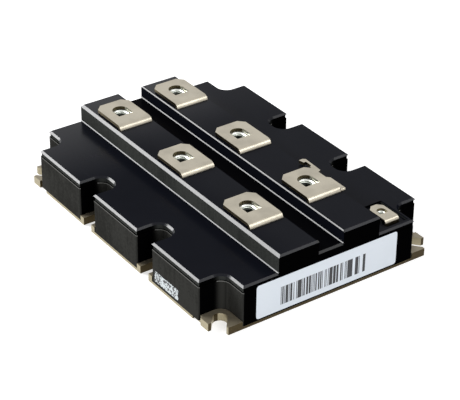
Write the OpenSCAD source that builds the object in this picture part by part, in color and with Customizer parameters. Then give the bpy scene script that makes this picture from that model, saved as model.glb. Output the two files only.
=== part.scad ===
// High power IGBT single switch module with screw terminals, 190 x 140 x 38 mm.
// A copper baseplate carries six soldered ceramic substrates with the chips.
// Two stacked busbars join the substrates to six bent screw terminals, which
// stand in two ridges of the moulded lid over captive nuts.
// Frame: +X is the end with the label, Z = 0 is the underside of the baseplate.

/* [Case] */
// overall length, along X
case_l = 190; // [188:0.5:194]
// overall width, along Y
case_w = 140; // [139:0.5:144]
// thickness of the copper baseplate
base_t = 4.5; // [4:0.1:5]
// height of the joint between frame and lid
rim_z = 21.5; // [21:0.1:22.5]
// height of the two outer shelves of the lid
shelf_z = 25.2; // [24.8:0.1:26]
// height of the groove floor between the ridges
groove_z = 28.1; // [27:0.1:30]
// height of the two ridges that carry the terminals
ridge_z = 35.4; // [34.5:0.1:36.5]
// wall thickness of the mouldings
wall = 2.4; // [2:0.1:2.6]
// how far the mouldings stand inside the outline of the baseplate
case_inset = 0.15; // [0.1:0.05:0.3]
// bevel round the top edges of the lid
bevel = 1; // [0.6:0.1:1.2]
// how far the lid is set back between its brim and the frame
lid_setback = 0.7; // [0.4:0.1:0.9]
// depth of the skirt of the frame beside the baseplate
skirt_h = 3; // [2.4:0.1:3.5]

/* [Mounting] */
// from the outer mounting places to the ends and to the long sides
hole_edge = [9.5, 8]; // [7.5:0.5:10]
// width of the slots for the M6 mounting screws
slot_w = 7.8; // [6.6:0.1:8]
// half width of the room left in the mouldings round each screw
screw_room = 7.2; // [6.8:0.1:7.4]
// how far that room reaches inwards past the screw
screw_reach = 7.7; // [7.4:0.1:8.2]
// radius in the inner corners of that room
room_r = 5.8; // [5:0.1:6.2]
// notch in each corner of the baseplate, along X and along Y
corner_notch = [8.2, 6.5]; // [6:0.1:8.5]
// shallow cut in the long edge of the baseplate beside that room: length, depth, reach into the room
edge_cut = [7, 1.2, 1.8]; // [0.8:0.1:8]

/* [Ridges] */
// middle and width of the ridge under the emitter terminals
ridge_1 = [-20.65, 25]; // [-21:0.05:25.5]
// middle and width of the ridge under the collector terminals
ridge_2 = [19.35, 23.5]; // [19:0.05:24]
// bevel along the wide outer edge of the first ridge
ridge_bevel = 1.3; // [0.8:0.1:1.5]
// bevel along the other long edges
edge_bevel = 0.5; // [0.3:0.1:0.8]
// bevel at the foot of each ridge
foot_bevel = 0.4; // [0.2:0.1:0.6]
// rounding of the upright corners of the frame
corner_r = 0.9; // [0.5:0.1:1.5]

/* [Main terminals] */
// pitch of the terminals in a row
term_pitch = 61.5; // [60:0.1:62]
// middle hole of the emitter row, X and Y
row_1 = [-11, -20.4]; // [-21:0.1:-10]
// middle hole of the collector row, X and Y
row_2 = [-14.4, 19.7]; // [-15:0.1:20]
// height of the terminals' contact faces
term_z = 38; // [37.8:0.1:38.5]
// width of a terminal
term_w = 20.7; // [19:0.1:21]
// thickness of the terminal sheet
term_t = 1.8; // [1.5:0.1:2]
// from the hole back to the edge
term_back = 10.8; // [10.5:0.1:11.5]
// from the hole forward to the face of the bend
term_front = 16.8; // [16:0.1:17]
// outer radius of the bend
bend_r = 3.3; // [3:0.1:4]
// corners cut off the back edge
term_cut = 3.5; // [2:0.1:4]
// width of the screw hole
term_hole_w = 9.2; // [8.8:0.1:10]
// from the middle of the screw hole to its flat end near the bend
term_hole_run = 6; // [5:0.5:7]
// play round a terminal where it passes through the lid
slot_play = 0.3; // [0.2:0.05:0.5]

/* [Nuts] */
// M8 nut: width across flats, height and tapping bore
nut = [13, 6.5, 6.8]; // [6:0.1:13]
// M4 nut: width across flats, height and tapping bore
small_nut = [7, 3.2, 3.3]; // [3:0.1:7]
// play round a nut in its pocket
nut_play = 0.1; // [0.05:0.05:0.2]
// gap between a nut and the terminal over it
nut_gap = 0.4; // [0.2:0.1:0.5]
// room under a nut for the end of the screw
screw_relief = 8; // [6:0.5:9]

/* [Auxiliary terminal] */
// screw hole of the auxiliary terminal, from the +X end and from the +Y side
aux_edge = [14, 26.1]; // [13.5:0.1:27]
// height of its contact face
aux_z = 27.5; // [27.3:0.1:28]
// width and thickness of its sheet
aux_sheet = [9, 1]; // [0.8:0.1:9.5]
// from the hole back to the edge, and forward to the face of the bend
aux_reach = [6.6, 9]; // [6:0.1:9.2]
// width of its screw hole, and how far the hole runs on to its flat end
aux_hole = [5.2, 2.2]; // [2:0.1:5.6]
// corners cut off its back edge
aux_cut = 2.6; // [1:0.1:2.8]
// outer radius of its bend
aux_bend_r = 2; // [1.5:0.1:2.2]
// tray in the lid round it: length, width and depth
aux_tray = [22.2, 13.8, 1.2]; // [1:0.1:23]

/* [Inside] */
// gap between the six ceramic substrates, along X and along Y
sub_gap = [4, 6]; // [3:0.5:7]
// room left round them, to the ends of the case and to the notches
sub_margin = [7, 5.3]; // [5:0.1:8]
// thickness of solder, ceramic and copper
solder_t = 0.3; // [0.2:0.05:0.4]
ceramic_t = 1; // [0.6:0.1:1.2]
pad_t = 0.4; // [0.3:0.05:0.5]
// gap between chips, and their thickness
chip_gap = 1; // [0.8:0.1:1.4]
chip_t = 0.4; // [0.3:0.05:0.5]
// height of the lower busbar and thickness of the busbars
bar_z = 10; // [9.5:0.1:10.5]
bar_t = 1.5; // [1.2:0.1:1.6]
// thickness of the sheet between the busbars
insulator_t = 0.8; // [0.6:0.1:1]
// how far the emitter busbar reaches past the collector busbar on each side
bar_step = 8; // [7:0.5:9]
// height of the silicone gel surface
gel_z = 17; // [16.5:0.1:17.5]
// gate board: width and thickness
board = [16, 1.6]; // [1:0.1:17]

/* [Labels] */
// end label: from the -Y and the +Y side of the case
label_edge = [23.3, 26.3]; // [20:0.1:30]
// how far it stays above the lower edge of the frame, and how far it laps over the joint with the lid
label_reach = [0.95, 1]; // [0.2:0.05:2]
// code sticker on the long side: length and height
sticker = [21.6, 6.4]; // [6:0.1:22]
// gap between the sticker and the screw notch beside it, and height of its middle
sticker_at = [2.7, 6.3]; // [2:0.1:7]
// thickness of label and sticker
label_t = 0.12; // [0.1:0.01:0.14]

/* [Hidden] */
eps = 0.01;
casing_l = case_l - 2*case_inset;
casing_w = case_w - 2*case_inset;
brim_z = shelf_z - bevel;
skirt_z = base_t - skirt_h;
hole_pitch = (case_l - 2*hole_edge[0])/3;
hole_x = [-1.5*hole_pitch, -hole_pitch/2, hole_pitch/2, 1.5*hole_pitch];
hole_y = case_w/2 - hole_edge[1];
aux = [case_l/2 - aux_edge[0], case_w/2 - aux_edge[1]];
notch_y = hole_y - screw_reach;
columns = [-1, 0, 1];
sides = [-1, 1];
row_1_xs = [for (i = columns) row_1[0] + i*term_pitch];
row_2_xs = [for (i = columns) row_2[0] + i*term_pitch];
nut_top = term_z - term_t - nut_gap;
boss_h = nut[1] + screw_relief;
aux_nut_top = aux_z - aux_sheet[1] - 0.2;
ceramic_z = base_t + solder_t;
pad_z = ceramic_z + ceramic_t;
die_z = pad_z + pad_t;
insulator_z = bar_z + bar_t;
top_bar_z = insulator_z + insulator_t;
bars_top = top_bar_z + bar_t;
board_z = gel_z + 0.3;
lead_z = board_z + board[1];
lead_t = aux_sheet[1];
lead_w = 2.6;
sub_size = [(case_l - 2*sub_margin[0] - 2*sub_gap[0])/3, notch_y - sub_margin[1] - sub_gap[1]/2];
sub_pitch = sub_size + sub_gap;
sub_xs = [for (i = columns) i*sub_pitch[0]];
sub_y = sub_pitch[1]/2;
strip_y = sub_size[1]/2 - 3;
field_l = sub_size[1] - 15.2;
field_y = strip_y - field_l/2 - 3.25;
chip_pitch = [(sub_size[0] - 2.4)/4, (field_l - 4)/2];
chip = [chip_pitch[0] - chip_gap, chip_pitch[1] - chip_gap, chip_t];
bar_l = 3*sub_pitch[0] - 20;
bar_w = [2*(sub_pitch[1] - bar_step) - 10, 2*sub_pitch[1] - 10];
hook_out = 2.6;
hook_reach = 18.2;
hook_foot = 3.4;
hook_front = 2.3;
hook_cut = 1.2;
strap_start = 2.4;
strap_w = 2.7;
strap_t = 1;
strap_gap = 0.3;
strap_z = 36.8;
gate_pin_y = 5.6;
edges_1 = [ridge_1[0] - ridge_1[1]/2, ridge_1[0] + ridge_1[1]/2];
edges_2 = [ridge_2[0] - ridge_2[1]/2, ridge_2[0] + ridge_2[1]/2];
gate_strip_y = gate_pin_y - sub_y;
igbt_y = field_y + chip_pitch[1]/2 + 1.4;
diode_y = field_y - chip_pitch[1]/2 - 0.6;
diode_x = 1.5*chip_pitch[0];
black = [0.14, 0.15, 0.17];
nickel = [0.76, 0.73, 0.66];
copper = [0.72, 0.45, 0.3];

// ---- outlines -------------------------------------------------------------

// one block of free room round a screw: two rounded inner corners, open at y = far
module screw_room_2d(half_w, inner_y, r, far) {
    for (s = sides) translate([s*(half_w - r), inner_y + r]) circle(r, $fn = 48);
    translate([-half_w + r, inner_y]) square([2*(half_w - r), r]);
    translate([-half_w, inner_y + r]) square([2*half_w, far - inner_y - r]);
}

// corner room, inner corner at x, y and open outwards both ways
module corner_room_2d(x, y, r, far) {
    translate([x + r, y + r]) circle(r, $fn = 48);
    translate([x + r, y]) square([far, r + eps]);
    translate([x, y + r]) square([far, far]);
}

// outline of the mouldings, moved inwards by d
module casing_2d(d = 0) {
    difference() {
        square([casing_l - 2*d, casing_w - 2*d], center = true);
        for (my = [0, 1], x = [hole_x[1], hole_x[2]]) mirror([0, my])
            translate([x, 0]) screw_room_2d(screw_room + d, notch_y - d, room_r + d, case_w);
        for (mx = [0, 1], my = [0, 1]) mirror([mx, 0]) mirror([0, my])
            corner_room_2d(hole_x[3] - screw_room - d, hole_y - screw_room - d, room_r + d, 40);
    }
}

// ---- baseplate and frame --------------------------------------------------

module baseplate_2d() {
    corner = [case_l/2, case_w/2];
    out = [corner[0] - hole_x[3], corner[1] - hole_y];
    difference() {
        square([case_l, case_w], center = true);
        for (my = [0, 1], x = [hole_x[1], hole_x[2]]) mirror([0, my]) translate([x, hole_y]) {
            circle(d = slot_w, $fn = 48);
            translate([-slot_w/2, 0]) square([slot_w, case_w]);
        }
        for (mx = [0, 1], my = [0, 1]) mirror([mx, 0]) mirror([0, my]) {
            translate([hole_x[3], hole_y]) {
                circle(d = slot_w, $fn = 48);
                rotate(atan2(out[1], out[0])) translate([0, -slot_w/2]) square([norm(out), slot_w]);
            }
            translate(corner - corner_notch) square(corner_notch + [eps, eps]);
            translate([hole_x[3] - screw_room + edge_cut[2] - edge_cut[0], corner[1] - edge_cut[1]])
                square([edge_cut[0], edge_cut[1] + eps]);
        }
    }
}

// strips along the outer faces where the frame overlaps the edge of the baseplate
module skirt_2d(play = 0) {
    difference() {
        casing_2d(-play);
        square([casing_l - 2*wall - 2*play, casing_w - 2*wall - 2*play], center = true);
    }
}

module baseplate() color(copper) difference() {
    linear_extrude(base_t) baseplate_2d();
    translate([0, 0, skirt_z]) linear_extrude(base_t) difference() {
        square([case_l + 1, case_w + 1], center = true);
        square([casing_l - 2*wall, casing_w - 2*wall], center = true);
        for (my = [0, 1]) mirror([0, my]) {
            for (x = [hole_x[1], hole_x[2]]) translate([x - screw_room, 0]) square([2*screw_room, case_w]);
            for (mx = [0, 1]) mirror([mx, 0]) translate([hole_x[3], hole_y] - screw_room*[1, 1])
                square(2*screw_room + 10);
        }
    }
}

// what rounding takes off a corner at the origin, with the material at x < 0, y < 0
module corner_bit_2d() translate([-corner_r, -corner_r]) difference() {
    square(corner_r + eps);
    circle(corner_r, $fn = 32);
}

// all the outer upright corners of the frame
module corner_bits_2d() for (mx = [0, 1], my = [0, 1]) mirror([mx, 0]) mirror([0, my]) {
    translate([casing_l/2, hole_y - screw_room]) corner_bit_2d();
    for (x = [hole_x[3] - screw_room, hole_x[2] - screw_room]) translate([x, casing_w/2]) corner_bit_2d();
    translate([hole_x[2] + screw_room, casing_w/2]) mirror([1, 0]) corner_bit_2d();
}

module housing_frame() color(black) difference() {
    union() {
        translate([0, 0, base_t]) linear_extrude(rim_z - base_t) difference() {
            casing_2d();
            casing_2d(wall);
        }
        translate([0, 0, skirt_z]) linear_extrude(skirt_h) skirt_2d();
    }
    translate([0, 0, skirt_z - 1]) linear_extrude(rim_z) corner_bits_2d();
}

// ---- lid ------------------------------------------------------------------

// bevels that follow the screw rooms at the level of the shelves
module room_bevels() translate([0, 0, brim_z]) {
    grow = bevel + eps;
    for (my = [0, 1], x = [hole_x[1], hole_x[2]]) mirror([0, my]) translate([x, 0, 0]) {
        for (s = sides) translate([s*(screw_room - room_r), notch_y + room_r, 0])
            cylinder(h = grow, r1 = room_r, r2 = room_r + grow, $fn = 48);
        translate([0, notch_y + room_r, 0]) rotate([-90, 0, 0]) linear_extrude(40)
            polygon([[-screw_room, 0], [screw_room, 0], [screw_room + grow, -grow], [-screw_room - grow, -grow]]);
        translate([room_r - screw_room, notch_y, 0]) rotate([90, 0, 90]) linear_extrude(2*(screw_room - room_r))
            polygon([[0, 0], [-grow, grow], [room_r, grow], [room_r, 0]]);
    }
    for (mx = [0, 1], my = [0, 1]) mirror([mx, 0, 0]) mirror([0, my, 0])
        translate([hole_x[3] - screw_room, hole_y - screw_room, 0]) {
            translate([room_r, room_r, 0]) cylinder(h = grow, r1 = room_r, r2 = room_r + grow, $fn = 48);
            translate([0, room_r, 0]) rotate([-90, 0, 0]) linear_extrude(40)
                polygon([[0, 0], [20, 0], [20, -grow], [-grow, -grow]]);
            translate([room_r, 0, 0]) rotate([90, 0, 90]) linear_extrude(40)
                polygon([[0, 0], [-grow, grow], [20, grow], [20, 0]]);
        }
}

// section of the lid across the ridges, outside or inside by the wall
module lid_section(d = 0) {
    half = casing_w/2 - d;
    b = d > 0 ? 0 : 1;
    e = b*edge_bevel;
    f = b*foot_bevel;
    polygon([[-half, 0], [half, 0], [half, brim_z - d], [half - b*bevel, shelf_z - d],
             [edges_2[1] - d + f, shelf_z - d], [edges_2[1] - d, shelf_z - d + f],
             [edges_2[1] - d, ridge_z - d - e], [edges_2[1] - d - e, ridge_z - d],
             [edges_2[0] + d + e, ridge_z - d], [edges_2[0] + d, ridge_z - d - e],
             [edges_2[0] + d, groove_z - d + f], [edges_2[0] + d - f, groove_z - d],
             [edges_1[1] - d + f, groove_z - d], [edges_1[1] - d, groove_z - d + f],
             [edges_1[1] - d, ridge_z - d - e], [edges_1[1] - d - e, ridge_z - d],
             [edges_1[0] + d + b*ridge_bevel, ridge_z - d], [edges_1[0] + d, ridge_z - d - b*ridge_bevel],
             [edges_1[0] + d, shelf_z - d + f], [edges_1[0] + d - f, shelf_z - d],
             [-half + b*bevel, shelf_z - d], [-half, brim_z - d]]);
}

module lid_solid(d = 0) translate([-casing_l/2 + d, 0, 0]) rotate([90, 0, 90])
    linear_extrude(casing_l - 2*d) lid_section(d);

// wedges that bevel the two ends of the shelves, groove and ridges
module end_bevels() for (mx = [0, 1]) mirror([mx, 0, 0]) translate([casing_l/2, 0, 0]) {
    spans = [[-case_w/2, edges_1[0], shelf_z], [edges_1[0], edges_1[1], ridge_z],
             [edges_1[1], edges_2[0], groove_z], [edges_2[0], edges_2[1], ridge_z],
             [edges_2[1], case_w/2, shelf_z]];
    for (s = spans) translate([0, s[0], s[2]]) rotate([-90, 0, 0]) linear_extrude(s[1] - s[0])
        polygon([[-bevel, 0], [-bevel, -eps], [eps, -eps], [eps, bevel]]);
}

module hex_prism(af, h) rotate(30) cylinder(h = h, d = af/cos(30), $fn = 6);

// lid floor under a nut: a pillar down from the roof that holds nut and screw end
module nut_boss(x, y) translate([x, y, nut_top - boss_h - wall])
    translate([-9, -9, 0]) cube([18, 18, boss_h + wall - 1]);

module nut_pocket(x, y) {
    translate([x, y, nut_top - nut[1]]) hex_prism(nut[0] + 2*nut_play, nut[1] + 2);
    translate([x, y, nut_top - boss_h]) cylinder(h = boss_h, d = nut[2] + 2.2, $fn = 32);
}

// slot in the roof for the leg of a main terminal
module leg_slot(x, y) translate([x + term_front - term_t - slot_play, y - term_w/2 - slot_play, rim_z])
    cube([term_t + 2*slot_play, term_w + 2*slot_play, 20]);

module lid() color(black) difference() {
    union() {
        difference() {
            intersection() {
                lid_solid();
                translate([0, 0, rim_z]) linear_extrude(40) casing_2d();
            }
            intersection() {
                lid_solid(wall);
                translate([0, 0, rim_z - 1]) linear_extrude(40) casing_2d(wall);
            }
            translate([0, 0, rim_z - 1]) linear_extrude(brim_z - rim_z + 1) difference() {
                square([case_l + 10, case_w + 10], center = true);
                casing_2d(lid_setback);
            }
            end_bevels();
            room_bevels();
        }
        for (x = row_1_xs) nut_boss(x, row_1[1]);
        for (x = row_2_xs) nut_boss(x, row_2[1]);
        aux_boss();
    }
    for (x = row_1_xs) {
        nut_pocket(x, row_1[1]);
        leg_slot(x, row_1[1]);
    }
    for (x = row_2_xs) {
        nut_pocket(x, row_2[1]);
        leg_slot(x, row_2[1]);
    }
    aux_cuts();
}

// tray, pillar, nut pocket and leg slot of the auxiliary terminal
module aux_boss() {
    depth = small_nut[1] + 4;
    translate([aux[0] - 6, aux[1] - 5.5, aux_nut_top - depth - 1]) cube([12, 11, shelf_z - aux_nut_top + depth]);
}

module aux_cuts() {
    side = aux_sheet[0]/2 - 0.2;
    x0 = aux[0] - aux_reach[0] - 4.4;
    y1 = aux[1] + aux_tray[1]/2 + 1.6;
    floor_z = shelf_z - aux_tray[2];
    difference() {
        translate([x0, y1 - aux_tray[1], floor_z]) cube([aux_tray[0], aux_tray[1], 5]);
        translate([aux[0] - 6, aux[1] - side, floor_z - 1]) cube([12, 2*side, aux_nut_top - floor_z + 1]);
    }
    translate([x0, y1, shelf_z]) rotate([90, 0, 90]) linear_extrude(aux_tray[0])
        polygon([[-eps, -foot_bevel], [foot_bevel, eps], [-eps, eps]]);
    translate([aux[0], aux[1], aux_nut_top - small_nut[1]]) hex_prism(small_nut[0] + 2*nut_play, 20);
    translate([aux[0], aux[1], aux_nut_top - small_nut[1] - 3]) cylinder(h = 5, d = small_nut[2] + 1.4, $fn = 32);
    translate([aux[0] + aux_reach[1] - aux_sheet[1] - slot_play, aux[1] - aux_sheet[0]/2 - slot_play, rim_z])
        cube([aux_sheet[1] + 2*slot_play, aux_sheet[0] + 2*slot_play, 10]);
}

// ---- terminals ------------------------------------------------------------

// bent sheet seen from the side: plate from -back, bend at front, leg down to z = foot
module bent_sheet(back, front, t, r, w, top, foot) rotate([90, 0, 0]) translate([0, 0, -w/2])
    linear_extrude(w) {
        translate([-back, top - t]) square([back + front - r, t]);
        translate([front - r, top - r]) intersection() {
            difference() {
                circle(r, $fn = 64);
                circle(r - t, $fn = 48);
            }
            square(r + 1);
        }
        translate([front - t, foot]) square([t, top - r - foot]);
    }

// screw hole with its round end at the origin and a flat end at x = run
module screw_hole(w, run) translate([0, 0, -1]) {
    cylinder(h = 60, d = w, $fn = 48);
    translate([0, -w/2, 0]) cube([run, w, 60]);
}

module cut_corners(back, w, cut) for (m = [0, 1]) mirror([0, m, 0])
    translate([-back, w/2, -1]) linear_extrude(60) polygon([[-1, 1], [cut, 1], [cut, 0], [0, -cut], [-1, -cut]]);

module main_terminal(x, y, foot) color(nickel) translate([x, y, 0]) difference() {
    bent_sheet(term_back, term_front, term_t, bend_r, term_w, term_z, foot);
    translate([0, 0, term_z - term_t]) {
        screw_hole(term_hole_w, term_hole_run);
        cut_corners(term_back, term_w, term_cut);
    }
}

// hooked tab at the side of the third collector terminal, cut from the same sheet
module hook_tab() color(nickel) translate([row_2_xs[2], row_2[1] + term_w/2, term_z - term_t])
    linear_extrude(term_t)
        polygon([[-hook_reach, -hook_cut], [-hook_reach, hook_out - hook_cut], [-hook_reach + hook_cut, hook_out],
                 [-hook_front - hook_cut, hook_out - hook_cut/2], [-hook_front, -hook_cut/2],
                 [-hook_reach/2, -hook_cut/2], [-hook_reach/2 - hook_cut, hook_out/3],
                 [-hook_reach + hook_foot, hook_out/2.5], [-hook_reach + hook_foot, -hook_cut/2]]);

module emitter_terminal_1() main_terminal(row_1_xs[0], row_1[1], bars_top);
module emitter_terminal_2() main_terminal(row_1_xs[1], row_1[1], bars_top);
module emitter_terminal_3() main_terminal(row_1_xs[2], row_1[1], bars_top);
module collector_terminal_1() main_terminal(row_2_xs[0], row_2[1], insulator_z);
module collector_terminal_2() main_terminal(row_2_xs[1], row_2[1], insulator_z);
module collector_terminal_3() {
    main_terminal(row_2_xs[2], row_2[1], insulator_z);
    hook_tab();
}

// narrow strap along the third collector terminal, its front end turned down on the ridge
module collector_sense_strap() color(nickel)
    translate([row_2_xs[2], row_2[1] + term_w/2 + strap_w/2 + strap_gap, 0]) difference() {
        bent_sheet(-strap_start, term_front, strap_t, strap_t + 0.1, strap_w, strap_z, ridge_z + 0.1);
        translate([strap_start, strap_w/2, 0]) linear_extrude(60) polygon([[-1, 1], [1.6, 1], [1.6, 0], [0, -1.6], [-1, -1.6]]);
    }

module nut_body(af, h, bore) intersection() {
    difference() {
        hex_prism(af, h);
        translate([0, 0, -1]) cylinder(h = h + 2, d = bore, $fn = 48);
        for (m = [0, 1]) translate([0, 0, m*h]) mirror([0, 0, m]) translate([0, 0, -eps])
            cylinder(h = bore*0.09, r1 = bore*0.59, r2 = bore*0.5, $fn = 48);
    }
    cylinder(h = h, d = af*1.1, $fn = 64);
}

module emitter_nuts() color(nickel) for (x = row_1_xs)
    translate([x, row_1[1], nut_top - nut[1]]) nut_body(nut[0], nut[1], nut[2]);

module collector_nuts() color(nickel) for (x = row_2_xs)
    translate([x, row_2[1], nut_top - nut[1]]) nut_body(nut[0], nut[1], nut[2]);

module auxiliary_terminal() color(nickel) translate([aux[0], aux[1], 0]) difference() {
    bent_sheet(aux_reach[0], aux_reach[1], aux_sheet[1], aux_bend_r, aux_sheet[0], aux_z, lead_z + lead_t);
    translate([0, 0, aux_z - aux_sheet[1]]) {
        screw_hole(aux_hole[0], aux_hole[1]);
        cut_corners(aux_reach[0], aux_sheet[0], aux_cut);
    }
}

module auxiliary_nut() color(nickel) translate([aux[0], aux[1], aux_nut_top - small_nut[1]])
    nut_body(small_nut[0], small_nut[1], small_nut[2]);

// ---- inside ---------------------------------------------------------------

// one child at each substrate, with +Y of the child pointing to the outside
module at_substrates() for (x = sub_xs, my = [0, 1]) mirror([0, my, 0]) translate([x, sub_y, 0]) children();

module plate(w, l, t) translate([-w/2, -l/2, 0]) cube([w, l, t]);

module solder_layers() color([0.7, 0.7, 0.72]) at_substrates()
    translate([0, 0, base_t]) plate(sub_size[0] - 2, sub_size[1] - 2, solder_t);

module ceramic_substrates() color([0.9, 0.9, 0.88]) at_substrates()
    translate([0, 0, ceramic_z]) plate(sub_size[0], sub_size[1], ceramic_t);

// gate strip inside, collector field in the middle, emitter strip outside
module substrate_copper() color(copper) at_substrates() translate([0, 0, pad_z]) {
    translate([0, field_y, 0]) plate(sub_size[0] - 1.6, field_l, pad_t);
    translate([0, gate_strip_y, 0]) plate(sub_size[0] - 1.6, 4.4, pad_t);
    translate([0, strip_y, 0]) plate(sub_size[0] - 1.6, 4.4, pad_t);
}

module igbt_chips() color([0.55, 0.55, 0.6]) at_substrates()
    for (i = [-1.5:1.5]) translate([i*chip_pitch[0], igbt_y, die_z]) plate(chip[0], chip[1], chip[2]);

module diode_chips() color([0.6, 0.6, 0.55]) at_substrates()
    for (s = sides) translate([s*diode_x, diode_y, die_z]) plate(chip[0], chip[1], chip[2]);

// flat aluminium loop from a chip face up over the gap and down to the emitter strip
module ribbon(y_chip, y_strip, w) rotate([90, 0, 90]) translate([0, 0, -w/2]) linear_extrude(w) {
    foot = 1.6;
    t = 0.3;
    top = die_z + chip[2];
    rise = 1.6;
    polygon([[y_chip - foot, top], [y_chip, top], [y_chip + 1.5, top + rise],
             [y_strip - 1.2, top + rise], [y_strip, die_z], [y_strip + foot, die_z], [y_strip + foot, die_z + t],
             [y_strip + 0.1, die_z + t], [y_strip - 1, top + rise + t], [y_chip + 1.3, top + rise + t],
             [y_chip - 0.1, top + t], [y_chip - foot, top + t]]);
}

module bond_ribbons() color([0.85, 0.85, 0.85]) at_substrates() for (i = [-1.5:1.5], s = sides)
    translate([i*chip_pitch[0] + s*2.8, 0, 0]) ribbon(igbt_y + 1.5, strip_y - 1.2, 2);

// foot that drops from a busbar to the copper of a substrate
module bar_foot(w, from_z) {
    translate([-w/2, -bar_t/2, die_z]) cube([w, bar_t, from_z - die_z + eps]);
    translate([-w/2, -2, die_z]) cube([w, 4, 1]);
}

module pin_holes(d) for (x = sub_xs, s = sides) translate([x, s*gate_pin_y, 0]) cylinder(h = 40, d = d, $fn = 32);

module bar_plate(l, w, z, t) translate([0, 0, z]) plate(l, w, t);

module leg_windows(z, h, grow) for (x = row_2_xs)
    translate([x + term_front - term_t - grow, row_2[1] - term_w/2 - grow, z]) cube([term_t + 2*grow, term_w + 2*grow, h]);

module collector_busbar() color(copper) difference() {
    union() {
        bar_plate(bar_l, bar_w[0], bar_z, bar_t);
        at_substrates() translate([0, diode_y, 0]) bar_foot(20, bar_z);
    }
    pin_holes(8);
}

module busbar_insulator() color([0.9, 0.85, 0.7]) difference() {
    bar_plate(bar_l + 6, bar_w[0] + 6, insulator_z, insulator_t);
    pin_holes(4);
    leg_windows(0, 30, 1);
}

module emitter_busbar() color(copper) difference() {
    union() {
        bar_plate(bar_l, bar_w[1], top_bar_z, bar_t);
        at_substrates() for (s = sides) translate([s*chip_pitch[0], bar_w[1]/2 - sub_y - bar_t/2, 0])
            emitter_foot();
    }
    pin_holes(6);
    leg_windows(0, 30, 2.5);
}

// foot on the outer strip, between the ribbon ends
module emitter_foot() {
    translate([-1.5, -bar_t/2, die_z]) cube([3, bar_t, top_bar_z - die_z + eps]);
    translate([-1.5, -bar_t/2 - 0.5, die_z]) cube([3, bar_t + 0.5, 1]);
}

module gate_pins() color(nickel) for (x = sub_xs, s = sides)
    translate([x, s*gate_pin_y, die_z]) {
        cylinder(h = board_z - die_z, d = 1.2, $fn = 24);
        cylinder(h = 0.8, d = 2.6, $fn = 24);
    }

module gate_board() color([0.15, 0.4, 0.2]) translate([0, 0, board_z]) plate(3*sub_pitch[0] - 4, board[0], board[1]);

module gate_lead() color(nickel) translate([aux[0] + aux_reach[1] - lead_w, 0, lead_z])
    cube([lead_w, aux[1] + aux_sheet[0]/2, lead_t]);

module silicone_gel() color([0.85, 0.88, 0.8]) {
    play = 0.3;
    difference() {
        translate([0, 0, base_t]) linear_extrude(gel_z - base_t) casing_2d(wall + 0.1);
        translate([0, 0, base_t]) plate(3*sub_pitch[0] - sub_gap[0] + 1, 2*sub_pitch[1] - sub_gap[1] + 1, bars_top - base_t);
        pin_holes(2);
        for (x = row_1_xs) translate([x + term_front - term_t/2, row_1[1], 0]) plate(term_t + 2*play, term_w + 2*play, 40);
        for (x = row_2_xs) translate([x + term_front - term_t/2, row_2[1], 0]) plate(term_t + 2*play, term_w + 2*play, 40);
    }
}

// ---- labels ---------------------------------------------------------------

// thin sheet with rounded corners, lying in the XY plane
module rounded_sheet(w, h, r, t) linear_extrude(t) difference() {
    translate([-w/2, -h/2]) square([w, h]);
    for (m = [0, 1], k = [0, 1]) mirror([m, 0]) mirror([0, k]) translate([w/2 - r, h/2 - r]) difference() {
        square(r + 1);
        circle(r, $fn = 32);
    }
}

module side_label() color([0.88, 0.9, 0.93]) {
    low = skirt_z + label_reach[0];
    high = rim_z + label_reach[1];
    translate([casing_l/2, (label_edge[0] - label_edge[1])/2, (low + high)/2]) rotate([90, 0, 90])
        rounded_sheet(casing_w - label_edge[0] - label_edge[1], high - low, 1.6, label_t);
}

module code_sticker() color([0.9, 0.92, 0.94])
    translate([hole_x[2] + screw_room + sticker_at[0] + sticker[0]/2, -casing_w/2, sticker_at[1]])
        rotate([90, 0, 0]) rounded_sheet(sticker[0], sticker[1], 0.8, label_t);

baseplate();
solder_layers();
ceramic_substrates();
substrate_copper();
igbt_chips();
diode_chips();
bond_ribbons();
collector_busbar();
busbar_insulator();
emitter_busbar();
gate_pins();
gate_board();
gate_lead();
silicone_gel();
housing_frame();
lid();
emitter_terminal_1();
emitter_terminal_2();
emitter_terminal_3();
collector_terminal_1();
collector_terminal_2();
collector_terminal_3();
collector_sense_strap();
emitter_nuts();
collector_nuts();
auxiliary_terminal();
auxiliary_nut();
side_label();
code_sticker();
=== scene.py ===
# %% [markdown]
# # A power module with screw terminals
# The real object is a flat block for switching large currents: a metal baseplate,
# a black moulded frame and lid, six bent terminals on two ridges, and a label on one
# end. All its solids come from the CAD model, so this script gives each of them its
# finish, adds the small things that a solid model leaves out, such as threads and
# print, and then sets up floor, light and camera.
# %% Load the fixed frame
from math import atan, cos, degrees, pi, radians, sin
import bpy
import numpy as np
from mathutils import Matrix, Vector


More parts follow.
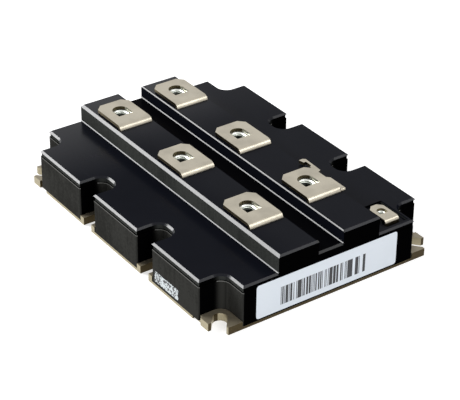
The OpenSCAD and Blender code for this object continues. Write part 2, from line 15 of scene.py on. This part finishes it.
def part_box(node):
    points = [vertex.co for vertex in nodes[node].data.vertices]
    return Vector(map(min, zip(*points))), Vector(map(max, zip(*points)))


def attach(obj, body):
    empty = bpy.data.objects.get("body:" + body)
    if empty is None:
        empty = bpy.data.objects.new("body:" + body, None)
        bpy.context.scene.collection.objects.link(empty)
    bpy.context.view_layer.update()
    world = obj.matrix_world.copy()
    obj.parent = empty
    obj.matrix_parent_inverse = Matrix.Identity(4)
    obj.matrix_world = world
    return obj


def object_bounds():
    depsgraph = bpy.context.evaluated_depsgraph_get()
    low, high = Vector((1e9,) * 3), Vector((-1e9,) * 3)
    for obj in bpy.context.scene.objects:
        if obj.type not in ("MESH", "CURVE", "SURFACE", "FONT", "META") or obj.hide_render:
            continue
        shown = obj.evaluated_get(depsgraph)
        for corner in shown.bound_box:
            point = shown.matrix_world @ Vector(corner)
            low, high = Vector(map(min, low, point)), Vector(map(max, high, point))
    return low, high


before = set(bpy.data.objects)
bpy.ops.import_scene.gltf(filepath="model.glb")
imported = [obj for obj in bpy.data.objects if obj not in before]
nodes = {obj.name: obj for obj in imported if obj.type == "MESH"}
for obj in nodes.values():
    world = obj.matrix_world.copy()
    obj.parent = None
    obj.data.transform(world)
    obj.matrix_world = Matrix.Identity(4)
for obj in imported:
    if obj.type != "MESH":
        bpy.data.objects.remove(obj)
cad_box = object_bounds()
MM = 0.001
print("nodes:", len(nodes))

# %% [markdown]
# ## Camera
# A long lens far away keeps the two ridges almost parallel. The camera stands off the
# corner of the block between the labelled end and the emitter side. Its place is
# worked out from three angles and a distance, because those are easier to reason
# about than a matrix.
# %% Camera from angles
AZIMUTH, ELEVATION, ROLL = radians(54.523), radians(31.58), radians(0.602)
DISTANCE = 0.9253
AIM = (0.003448, -0.00915)
FOCAL_SHARE = 1695.911 / 460

back = Vector((sin(AZIMUTH) * cos(ELEVATION), -cos(AZIMUTH) * cos(ELEVATION), sin(ELEVATION)))
right = Vector((cos(AZIMUTH), sin(AZIMUTH), 0))
up = back.cross(right)
rolled_right = cos(ROLL) * right + sin(ROLL) * up
rolled_up = cos(ROLL) * up - sin(ROLL) * right
middle = Vector((0, 0, 0.019))
place = middle + back * DISTANCE + rolled_right * AIM[0] + rolled_up * AIM[1]

lens = bpy.data.cameras.new("camera")
lens.sensor_width = 36
lens.lens = FOCAL_SHARE * lens.sensor_width
lens.clip_end = 20
camera = bpy.data.objects.new("camera", lens)
camera.matrix_world = Matrix((
    (rolled_right.x, rolled_up.x, back.x, place.x),
    (rolled_right.y, rolled_up.y, back.y, place.y),
    (rolled_right.z, rolled_up.z, back.z, place.z),
    (0, 0, 0, 1)))
bpy.context.scene.collection.objects.link(camera)
bpy.context.scene.camera = camera
print("lens", round(lens.lens, 1), "mm, view", round(degrees(2 * atan(18 / lens.lens)), 1), "degrees")

# %% [markdown]
# ## Shader sums as plain expressions
# A material is a graph of nodes, and maths in such a graph soon becomes hard to read.
# The Wire class below wraps one output of a node, so that `0.4 + 0.1 * grain` adds the
# Math nodes by itself. Recipe makes every other kind of node from its type name.
# %% Wire and Recipe
class Wire:
    """One number or colour on its way through a material."""

    def __init__(self, recipe, socket):
        self.recipe, self.socket = recipe, socket

    def maths(self, operation, first, second=0.0, clamp=False):
        settings = {"operation": operation, "use_clamp": clamp}
        return self.recipe.node("ShaderNodeMath", settings, {0: first, 1: second})

    def __add__(self, other):
        return self.maths("ADD", self, other)

    def __radd__(self, other):
        return self.maths("ADD", other, self)

    def __sub__(self, other):
        return self.maths("SUBTRACT", self, other)

    def __rsub__(self, other):
        return self.maths("SUBTRACT", other, self)

    def __mul__(self, other):
        return self.maths("MULTIPLY", self, other)

    def __rmul__(self, other):
        return self.maths("MULTIPLY", other, self)

    def __truediv__(self, other):
        return self.maths("DIVIDE", self, other)

    def __gt__(self, other):
        return self.maths("GREATER_THAN", self, other)

    def __lt__(self, other):
        return self.maths("LESS_THAN", self, other)

    def cells(self, pitch):
        """Number of the strip of that width in which the value lies."""
        return self.maths("FLOOR", self / pitch)

    def size(self):
        """The value without its sign."""
        return self.maths("ABSOLUTE", self)

    def clamped(self):
        """The value, cut to lie from 0 to 1."""
        return self.maths("ADD", self, 0.0, clamp=True)

    def ramp(self, low, high):
        """0 at low, 1 at high, smooth between."""
        return self.recipe.node("ShaderNodeMapRange", {"interpolation_type": "SMOOTHSTEP"},
                                {"Value": self, "From Min": low, "From Max": high})


class Recipe:
    """A material under construction, with its Principled shader."""

    def __init__(self, name, **constants):
        self.material = bpy.data.materials.new(name)
        self.material.use_nodes = True
        self.tree = self.material.node_tree
        self.shader = self.tree.nodes["Principled BSDF"]
        for socket, value in constants.items():
            self.shader.inputs[socket.replace("_", " ")].default_value = value

    def node(self, kind, settings=None, sockets=None, output=0):
        """Any node from its type name, its settings, and values or wires for its sockets."""
        made = self.tree.nodes.new(kind)
        for key, value in (settings or {}).items():
            setattr(made, key, value)
        for key, value in (sockets or {}).items():
            if isinstance(value, Wire):
                self.tree.links.new(value.socket, made.inputs[key])
            else:
                made.inputs[key].default_value = value
        return Wire(self, made.outputs[output])

    def feed(self, socket, wire):
        """Leads a wire into that socket of the Principled shader."""
        self.tree.links.new(wire.socket, self.shader.inputs[socket])

    def place(self, scale=(1, 1, 1)):
        """Object coordinates in metres, stretched by scale."""
        coordinate = self.node("ShaderNodeTexCoord", output="Object")
        return self.node("ShaderNodeMapping", {}, {"Vector": coordinate, "Scale": scale})

    def axes(self):
        """The X, Y and Z of the object coordinates as three wires."""
        split = self.tree.nodes.new("ShaderNodeSeparateXYZ")
        self.tree.links.new(self.node("ShaderNodeTexCoord", output="Object").socket, split.inputs[0])
        return [Wire(self, split.outputs[i]) for i in range(3)]

    def facing(self):
        """The X, Y and Z of the direction in which the surface looks."""
        split = self.tree.nodes.new("ShaderNodeSeparateXYZ")
        self.tree.links.new(self.node("ShaderNodeTexCoord", output="Normal").socket, split.inputs[0])
        return [Wire(self, split.outputs[i]) for i in range(3)]

    def noise(self, size, detail=3.0, stretch=(1, 1, 1)):
        """Noise whose blobs are about size metres across, from 0 to 1."""
        return self.node("ShaderNodeTexNoise", {}, {
            "Vector": self.place(tuple(s / size for s in stretch)), "Scale": 1.0,
            "Detail": detail})

    def mix(self, share, colour_0, colour_1):
        """Colour 0 where share is 0, colour 1 where it is 1."""
        ends = {6: colour_0, 7: colour_1}
        ends = {k: v if isinstance(v, Wire) else (*v, 1) for k, v in ends.items()}
        return self.node("ShaderNodeMix", {"data_type": "RGBA"}, {0: share, **ends}, output=2)

    def bump(self, height, depth):
        """Bends the surface as if height, from 0 to 1, were depth metres deep."""
        self.feed("Normal", self.node("ShaderNodeBump", {}, {
            "Height": height, "Distance": depth, "Strength": 1.0}))


# %% [markdown]
# ## Black moulding
# Frame and lid are a glass filled thermoplastic, very black and dull on its flat faces.
# The outer long walls are painted greyer as a painted reflection, with a fine grain and
# faint upright streaks; the walls in the groove are left out of it. The ends of the block
# and the floor of the groove are painted darker as painted shade. The narrow bevels are
# glossy instead: the tool was polished there, so they carry a gloss that catches the lamp
# as a bright line. Which kind a place is follows from the way its face points. The tops
# have a thin sheen, which grows towards the end away from the label, and none in the groove.
#
# The limits of the groove, the tray and the joint between frame and lid are taken from
# the boxes of the pieces that stand there.
# %% Where on the moulding
def inside(wire, low, high):
    """1 where the value lies between low and high, else 0."""
    return (wire > low) * (wire < high)


GROOVE = (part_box("emitter_nuts")[1].y + 4 * MM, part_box("collector_nuts")[0].y - 4 * MM)
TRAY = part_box("auxiliary_terminal")[0]
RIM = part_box("housing_frame")[1].z
print("groove from", round(GROOVE[0] / MM, 1), "to", round(GROOVE[1] / MM, 1), "mm")


# %% [markdown]
# ### One recipe for both mouldings
# Each mask below is 1 on one kind of place and 0 elsewhere: the bevels, the rounded
# upright corners, which get a painted highlight, the outer long walls, which get a painted
# reflection, and the fine line where the lid meets the frame, painted as a highlight. The
# noises run from clouds as wide as a terminal down to the grain of the tool.
# %% Black moulding
def black_moulding(name, tint, painted_wall_light, gloss):
    """Black plastic: tint on flat faces, a lighter wall tint painted on the outer long walls as painted
    reflection and on rounded corners as painted highlight, gloss is its roughness.
    """
    r = Recipe(name, Specular_IOR_Level=0.0, Coat_Roughness=0.22, Coat_IOR=1.5)
    nx, ny, nz = r.facing()
    x, y, z = r.axes()
    tray = (x > TRAY.x - 6 * MM) * (y > TRAY.y - 4 * MM) * (ny.size() > 0.3)
    bevel = inside(nz, 0.2, 0.93) * (1.0 - tray) * (1.0 - 0.62 * (nx > 0.3))
    turn = 2.0 * nx * ny
    # Painted highlight: upright faces turned halfway between X and Y, at the rounded corners and inside the
    # notches.
    corner_highlight = inside(nz, -0.05, 0.05) * turn * turn
    # Painted reflection: the outer long walls, away from the groove, are marked for a lighter colour.
    painted_reflection_walls = (ny.size() > 0.9) * (y.size() > 28 * MM)
    # Painted highlight: a pale band at the top of the frame wall, just under the lid, stands in for light
    # caught by that edge.
    joint_highlight = (z > RIM - 0.5 * MM) * (z < RIM + 0.01 * MM) * (nz < 0.1) * (ny.size() > 0.25)
    clouds = r.noise(0.030, 2.0)
    grain = r.noise(0.00045, 2.0)
    speckle = r.noise(0.0011, 3.0)
    streaks = r.noise(0.0022, 4.0, stretch=(1.0, 1.0, 0.12))
    rubs = r.noise(0.004, 5.0, stretch=(0.25, 1.6, 1.6)).ramp(0.62, 0.80)
    flat = r.mix((0.6 * rubs + 0.4 * clouds).clamped(), tint, tuple(1.8 * c + 0.001 for c in tint))
    # The outer long walls get a painted reflection: a lighter colour, with real grain and streaks in it.
    wall_grain_pattern = (0.30 * speckle + 0.25 * streaks + 0.45 * clouds).ramp(0.38, 0.60)
    painted_wall_colour = r.mix(wall_grain_pattern, tuple(0.62 * c for c in painted_wall_light), painted_wall_light)
    # Painted shade: faces that look along X, the ends of the block, are painted almost black.
    colour = r.mix(nx.size() > 0.9, r.mix(painted_reflection_walls, flat, painted_wall_colour), (0.0008, 0.0008, 0.0009))
    # Painted shade: the floor of the groove between the ridges is painted darker.
    colour = r.mix(inside(y, *GROOVE) * (nz > 0.5), colour, (0.0022, 0.0022, 0.0030))
    # The painted highlight on the rounded corners takes the light wall colour.
    colour = r.mix(0.8 * corner_highlight, colour, painted_wall_light)
    r.feed("Base Color", r.mix(joint_highlight * 0.75, colour, (0.20, 0.20, 0.19)))
    far_end = (-1.0 * x).ramp(25 * MM, 105 * MM) * (1.0 - 0.80 * y.ramp(22 * MM, 50 * MM))
    sheen = 0.07 + 0.08 * y.ramp(-45 * MM, -15 * MM) + 0.50 * far_end + 0.03 * (clouds - 0.5)
    sheen = sheen * (1.0 - 0.95 * inside(y, *GROOVE)) * (nz > 0.93)
    r.feed("Coat Weight", (bevel * (0.70 + 0.3 * speckle) + sheen).clamped())
    r.feed("Roughness", (gloss + 0.10 * clouds + 0.06 * (grain - 0.5) - 0.05 * rubs).clamped())
    r.bump(grain * (1.0 - bevel.clamped()), 0.00003)
    return r.material


# The lid's flat tint is its own black with a blue cast that is painted reflection.
lid_black = black_moulding("black_moulding_lid", (0.0042, 0.0048, 0.0078), (0.050, 0.053, 0.050), 0.34)
frame_black = black_moulding("black_moulding_frame", (0.0008, 0.0008, 0.0008), (0.042, 0.042, 0.039), 0.42)
print("mouldings:", lid_black.name, "and", frame_black.name)

# %% [markdown]
# ## Plated metals
# The terminals are copper with a thin pale nickel plating, so they are a warm grey, not
# yellow. Sheet that has been rolled shows very fine lines along its length, and the
# plating is never quite even. The same recipe with other numbers gives the nuts, the
# baseplate and the bare copper inside. Upright faces can take a darker colour as painted
# shade; on the baseplate only those that look along X keep it, and the others take a
# lighter colour as painted light. The walls of the terminal holes take a lighter colour as
# painted reflection. On a dull metal the plating of the top faces has gone matt.
# %% Plated metals
def sheet_metal(name, colour, roughness, lines=(1, 22, 22), line_size=0.004, stain=0.12, depth=0.000006,
                edge_shade=None, lit_edge=None, hole_wall_reflection=None, dull=0.0):
    """Rolled and plated sheet, with lines of line_size metres stretched by lines."""
    r = Recipe(name, Metallic=1.0)
    rolling = r.noise(line_size, 4.0, stretch=lines)
    blotch = r.noise(0.012, 3.0)
    specks = r.noise(0.0009, 2.0).ramp(0.66, 0.74)
    darker = tuple(c * (1 - 2.2 * stain) for c in colour)
    plated = r.mix((blotch.ramp(0.35, 0.75) * 0.7 + 0.5 * specks).clamped(), colour, darker)
    face = r.facing()
    # Painted shade: upright faces take a darker colour.
    if edge_shade:
        plated = r.mix(face[2].size() < 0.1, plated, edge_shade)
    # Painted light: upright faces that don't look along X take a lighter colour.
    if lit_edge:
        plated = r.mix((face[0].size() < 0.95) * (face[2].size() < 0.1), plated, lit_edge)
    # Painted reflection: the walls of the terminal holes that face along Y take a lighter colour.
    if hole_wall_reflection:
        _, y, _ = r.axes()
        for row in ("emitter_nuts", "collector_nuts"):
            low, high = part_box(row)
            hole = inside(y, low.y + 1.5 * MM, high.y - 1.5 * MM) * (face[1].size() > 0.9)
            plated = r.mix(hole, plated, hole_wall_reflection)
    r.feed("Base Color", plated)
    r.feed("Metallic", 1.0 - dull * (face[2] > 0.9) * (0.7 + 0.3 * specks))
    uneven = 0.22 * (rolling - 0.5) + 0.10 * specks + 0.08 * (blotch - 0.5)
    r.feed("Roughness", (roughness + uneven).clamped())
    r.bump(rolling, depth)
    return r.material


# The dark upright-face colours below are painted shade; the light ones are painted light and painted
# reflection.
nickel = sheet_metal("nickel_plated_copper", (0.50, 0.46, 0.375), 0.34,
                     edge_shade=(0.13, 0.105, 0.06), hole_wall_reflection=(0.55, 0.53, 0.45))
zinc = sheet_metal("zinc_plated_steel", (0.82, 0.84, 0.79), 0.42, lines=(3, 3, 3), stain=0.05)
plate_nickel = sheet_metal("nickel_plated_baseplate", (0.30, 0.26, 0.185), 0.42, line_size=0.006, stain=0.16,
                           edge_shade=(0.060, 0.045, 0.022), lit_edge=(0.36, 0.32, 0.22), dull=0.75)
bare_copper = sheet_metal("bare_copper", (0.72, 0.38, 0.24), 0.35, stain=0.10)
tin = sheet_metal("tin_solder", (0.55, 0.55, 0.57), 0.42, lines=(2, 2, 2), stain=0.08)
aluminium = sheet_metal("aluminium_ribbon", (0.78, 0.78, 0.79), 0.30, stain=0.05)
print("metals:", ", ".join(m.name for m in (nickel, zinc, plate_nickel, bare_copper, tin, aluminium)))

# %% [markdown]
# ### Steel in the bores
# A tapped bore is bright where the screw enters and painted dark further down, partly oil and partly painted
# shade. How deep a place lies is worked out from the tops of the nuts.
# %% Tapped bores
def tapped_steel(name, colour, tops):
    """Bright near the mouth of a bore and painted dark further down, partly oil and partly painted shade."""
    r = Recipe(name, Metallic=0.85)
    _, _, z = r.axes()
    depth = 1.0
    for top in tops:
        depth = depth * (1.0 - z.ramp(top - 2.6 * MM, top - 1.0 * MM) * (z < top + 0.1 * MM))
    # Oil and painted shade: the colour darkens from the mouth of each bore downwards.
    oil_and_shade = depth * 0.95 + 0.05 * r.noise(0.0012, 3.0)
    r.feed("Base Color", r.mix(oil_and_shade.clamped(), colour, (0.012, 0.015, 0.012)))
    r.feed("Roughness", (0.36 + 0.2 * r.noise(0.0008, 3.0)).clamped())
    return r.material


NUT_TOPS = [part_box(name)[1].z for name in ("emitter_nuts", "auxiliary_nut")]
tapped_zinc = tapped_steel("tapped_zinc_plated_steel", (0.80, 0.84, 0.78), NUT_TOPS)
print("nuts end", ", ".join(str(round(top / MM, 1)) for top in NUT_TOPS), "mm up")

# %% [markdown]
# ## Print on the labels
# Both labels are white film with black print. A bar code is a row of strips, each black
# or white by chance, so the strip's number goes into a White Noise node, which returns
# the same number for the same strip every time. The square code uses two strip numbers
# at once. Only plain patterns are printed, so they read as a code without being one.
# %% Label film
INK = (0.012, 0.012, 0.016)


def film(name, colour):
    """Label film with nothing printed on it yet: its recipe and the colour of the paper."""
    r = Recipe(name, Coat_Weight=0.12, Coat_Roughness=0.25)
    r.feed("Roughness", (0.38 + 0.10 * r.noise(0.006, 3.0)).clamped())
    r.bump(r.noise(0.0012, 3.0), 0.00001)
    paper = r.mix(r.noise(0.020, 3.0), colour, tuple(c * 0.95 for c in colour))
    return r, paper


low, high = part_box("side_label")
BAR_Y = (low.y + 14.4 * MM, high.y - 19.0 * MM)
BAR_Z = (low.z + 3.2 * MM, high.z - 6.1 * MM)
bars, paper = film("end_label_film", (0.68, 0.73, 0.79))
_, y, z = bars.axes()
chance = bars.node("ShaderNodeTexWhiteNoise", {"noise_dimensions": "1D"}, {"W": y.cells(0.42 * MM) + 0.5})
strips = inside(y, *BAR_Y) * inside(z, *BAR_Z) * (chance > 0.46)
bars.feed("Base Color", bars.mix(strips, paper, INK))
end_label_film = bars.material

low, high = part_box("code_sticker")
dots, paper = film("code_sticker_film", (0.66, 0.72, 0.74))
x, _, z = dots.axes()
grid = dots.node("ShaderNodeCombineXYZ", {}, {0: x.cells(0.72 * MM), 1: z.cells(0.72 * MM), 2: 0.5})
chance = dots.node("ShaderNodeTexWhiteNoise", {"noise_dimensions": "3D"}, {"Vector": grid})
dots.feed("Base Color", dots.mix(chance > 0.62, paper, INK))
code_film = dots.material
print("bars from", round(BAR_Y[0] / MM, 1), "to", round(BAR_Y[1] / MM, 1), "mm")

# %% [markdown]
# ## Finishes inside the case
# The pieces inside are seen only when the module is taken apart, but each still gets its
# own finish: white ceramic, grey metallised silicon, amber insulating sheet, green
# solder mask and clear soft gel.
# %% Inner finishes
def plain_finish(name, colour, roughness, size, depth, **constants):
    """Even finish with clouds of that size and a fine bump of that depth."""
    r = Recipe(name, **constants)
    cloud = r.noise(size, 3.0)
    r.feed("Base Color", r.mix(cloud, colour, tuple(c * 0.86 for c in colour)))
    r.feed("Roughness", (roughness + 0.14 * (cloud - 0.5)).clamped())
    r.bump(r.noise(size * 0.1, 2.0), depth)
    return r.material


ceramic = plain_finish("white_ceramic", (0.78, 0.78, 0.75), 0.45, 0.004, 0.00001)
silicon = plain_finish("metallised_silicon", (0.36, 0.37, 0.40), 0.25, 0.008, 0.000003, Metallic=0.8)
amber = plain_finish("insulating_sheet", (0.62, 0.50, 0.26), 0.35, 0.010, 0.000005)
mask_green = plain_finish("green_solder_mask", (0.02, 0.14, 0.05), 0.30, 0.006, 0.00001, Coat_Weight=0.3)
gel = plain_finish("clear_gel", (0.70, 0.74, 0.68), 0.12, 0.030, 0.00002, Coat_Weight=0.4)
print("inner finishes:", ", ".join(m.name for m in (ceramic, silicon, amber, mask_green, gel)))

# %% [markdown]
# ## Putting the finishes on
# A CAD solid keeps its mesh, and only its material slots change. A dictionary from the
# start of a name to a finish keeps this short.
# %% Finish of each CAD node
FINISHES = {
    "baseplate": plate_nickel, "solder": tin, "ceramic": ceramic, "substrate": bare_copper,
    "igbt": silicon, "diode": silicon, "bond": aluminium, "collector_busbar": bare_copper,
    "emitter_busbar": bare_copper, "busbar_insulator": amber, "gate_pins": nickel,
    "gate_board": mask_green, "gate_lead": nickel, "silicone_gel": gel,
    "housing_frame": frame_black, "lid": lid_black, "emitter_terminal": nickel,
    "collector_terminal": nickel, "collector_sense_strap": nickel, "emitter_nuts": zinc,
    "collector_nuts": zinc, "auxiliary_terminal": nickel, "auxiliary_nut": zinc,
    "side_label": end_label_film, "code_sticker": code_film}
for name, node in nodes.items():
    start = max((s for s in FINISHES if name.startswith(s)), key=len)
    node.data.materials.clear()
    node.data.materials.append(FINISHES[start])
print("finishes:", len(set(FINISHES.values())))

# %% [markdown]
# ## Surfaces from formulas
# New pieces are grids of points. Two parameters run over the grid, a formula turns them
# into X, Y and Z for all points at once, and neighbouring points are joined into quads.
# %% Grid to mesh
def surface(name, points, material, closed=False, body="root"):
    """Mesh from an array of points, rows x columns x 3. closed joins the last column to
    the first. Quads run counter-clockwise as seen with rows to the right, columns up."""
    rows, columns = points.shape[:2]
    index = np.arange(rows * columns).reshape(rows, columns)
    if closed:
        index = np.concatenate([index, index[:, :1]], axis=1)
    quads = np.stack([index[:-1, :-1], index[1:, :-1], index[1:, 1:], index[:-1, 1:]], axis=-1).reshape(-1, 4)
    mesh = bpy.data.meshes.new(name)
    mesh.from_pydata(points.reshape(-1, 3).tolist(), [], quads.tolist())
    mesh.polygons.foreach_set("use_smooth", np.ones(len(quads), dtype=bool))
    mesh.materials.append(material)
    made = bpy.data.objects.new(name, mesh)
    bpy.context.scene.collection.objects.link(made)
    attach(made, body)
    return made


# %% [markdown]
# ## Threads
# A nut's bore is drawn plain in the CAD model. The real one has a thread, which shows as
# fine rings inside the hole. One helical surface lines the bore: going once round moves
# the crest along by one pitch.
# %% Thread lining of a bore
M8 = (8 * MM, 1.25 * MM)
M4 = (4 * MM, 0.7 * MM)
AROUND = 48
ALONG_EACH_TURN = 8


def thread(name, centre, top, length, major, pitch):
    """Radius = 0.41 major - 0.26 pitch * wave(z / pitch - angle / 2 pi), wave from 0 to 1."""
    turns = np.linspace(0, 2 * pi, AROUND + 1)[:-1]
    heights = np.linspace(top - length, top, int(length / pitch * ALONG_EACH_TURN) + 1)
    z, angle = np.meshgrid(heights, turns, indexing="ij")
    wave = np.abs(((z / pitch - angle / (2 * pi)) % 1.0) * 2 - 1)
    fade = np.clip(np.minimum(z - heights[0], heights[-1] - z) / (0.6 * pitch), 0, 1)
    radius = 0.41 * major - 0.26 * pitch * wave * fade
    points = np.stack([centre[0] + radius * np.cos(angle), centre[1] + radius * np.sin(angle), z], axis=-1)
    return surface(name, points[::-1], tapped_zinc, closed=True)


def solids_of(name, count):
    """Middles of the equal solids in a node, found by splitting its span along X."""
    mesh = nodes[name].data
    points = np.empty(len(mesh.vertices) * 3)
    mesh.vertices.foreach_get("co", points)
    points = points.reshape(-1, 3)
    edges = np.linspace(points[:, 0].min(), points[:, 0].max(), 2 * count)
    order = np.digitize(points[:, 0], edges[1:-1]) // 2
    groups = [points[order == i] for i in range(count)]
    return [(g.min(0) + g.max(0)) / 2 for g in groups], points[:, 2].max()


threads = []
for row in ("emitter", "collector"):
    middles, top = solids_of(row + "_nuts", 3)
    for i, centre in enumerate(middles):
        threads.append(thread(f"{row}_thread_{i + 1}", centre, top - 0.5 * MM, 5.4 * MM, *M8))
middles, top = solids_of("auxiliary_nut", 1)
threads.append(thread("auxiliary_thread", middles[0], top - 0.25 * MM, 2.6 * MM, *M4))
print("threads:", len(threads), "with", sum(len(t.data.polygons) for t in threads), "quads")

# %% [markdown]
# ## Floor, world and lamps
# The floor is white and the world behind it too, for the camera and for reflections. The
# light itself is softer and dimmer than that white, so the floor glows only as far as
# it is looked at, and still takes the shadow of the module.
# %% Floor
def seen_directly(tree):
    """1 for camera, glossy and transmission rays, 0 for rays that carry light."""
    path = tree.nodes.new("ShaderNodeLightPath")
    total = tree.nodes.new("ShaderNodeMath")
    total.operation = "ADD"
    total.use_clamp = True
    first = tree.nodes.new("ShaderNodeMath")
    first.operation = "ADD"
    tree.links.new(path.outputs["Is Camera Ray"], first.inputs[0])
    tree.links.new(path.outputs["Is Glossy Ray"], first.inputs[1])
    tree.links.new(first.outputs[0], total.inputs[0])
    tree.links.new(path.outputs["Is Transmission Ray"], total.inputs[1])
    return total.outputs[0]


floor_material = bpy.data.materials.new("white_floor")
floor_material.use_nodes = True
tree = floor_material.node_tree
paint = tree.nodes["Principled BSDF"]
paint.inputs["Base Color"].default_value = (0.80, 0.80, 0.80, 1)
paint.inputs["Roughness"].default_value = 0.9
paint.inputs["Specular IOR Level"].default_value = 0.0
paint.inputs["Emission Color"].default_value = (1, 1, 1, 1)
glow = tree.nodes.new("ShaderNodeMath")
glow.operation = "MULTIPLY"
glow.inputs[1].default_value = 0.62
tree.links.new(seen_directly(tree), glow.inputs[0])
tree.links.new(glow.outputs[0], paint.inputs["Emission Strength"])

half = 3.0
plane = bpy.data.meshes.new("floor")
level = cad_box[0][2] - 0.0002
plane.from_pydata([(-half, -half, level), (half, -half, level), (half, half, level), (-half, half, level)],
                  [], [(0, 1, 2, 3)])
plane.materials.append(floor_material)
floor = bpy.data.objects.new("floor", plane)
bpy.context.scene.collection.objects.link(floor)
print("floor at", round(level / MM, 2), "mm")

# %% [markdown]
# ### World
# Two backgrounds: a dim one that lights the module from all round, and a white one that
# is only looked at or mirrored.
# %% World
world = bpy.data.worlds.new("studio")
bpy.context.scene.world = world
world.use_nodes = True
tree = world.node_tree
tree.nodes.clear()
dim = tree.nodes.new("ShaderNodeBackground")
dim.inputs[0].default_value = (1, 1, 1, 1)
dim.inputs[1].default_value = 0.30
white = tree.nodes.new("ShaderNodeBackground")
white.inputs[0].default_value = (1, 1, 1, 1)
white.inputs[1].default_value = 1.0
blend = tree.nodes.new("ShaderNodeMixShader")
finish = tree.nodes.new("ShaderNodeOutputWorld")
tree.links.new(seen_directly(tree), blend.inputs[0])
tree.links.new(dim.outputs[0], blend.inputs[1])
tree.links.new(white.outputs[0], blend.inputs[2])
tree.links.new(blend.outputs[0], finish.inputs[0])
print("world:", world.name)

# %% [markdown]
# ### Lamps
# The first lamp stands low over the long side and draws the bright lines along the
# bevels. The second lights the labelled end, and the third, behind, gives the rounded
# bends of the terminals their highlight.
# %% Lamps
LAMP_DISTANCE = 1.3


def soft_lamp(name, direction, size, watts):
    """Square area lamp that stands in that direction from the module and faces it."""
    lamp = bpy.data.lights.new(name, "AREA")
    lamp.shape = "SQUARE"
    lamp.size = size
    lamp.energy = watts
    stand = bpy.data.objects.new(name, lamp)
    direction = Vector(direction).normalized()
    stand.location = middle + direction * LAMP_DISTANCE
    stand.rotation_euler = direction.to_track_quat("Z", "Y").to_euler()
    stand.visible_camera = False
    bpy.context.scene.collection.objects.link(stand)
    return stand


lamps = [soft_lamp("bevel_lamp", (-0.693, -0.524, 0.495), 0.65, 17),
         soft_lamp("end_lamp", (1.0, -0.15, 0.35), 0.6, 8),
         soft_lamp("bend_lamp", (0.524, 0.495, 0.693), 0.45, 2.6)]
bpy.context.scene.view_settings.view_transform = "Standard"
print("lamps:", ", ".join(lamp.name for lamp in lamps))

# %% [markdown]
# ## Pieces added
# The number of pieces that this script adds is printed.
# %% Pieces added
print("pieces added:", len(threads))
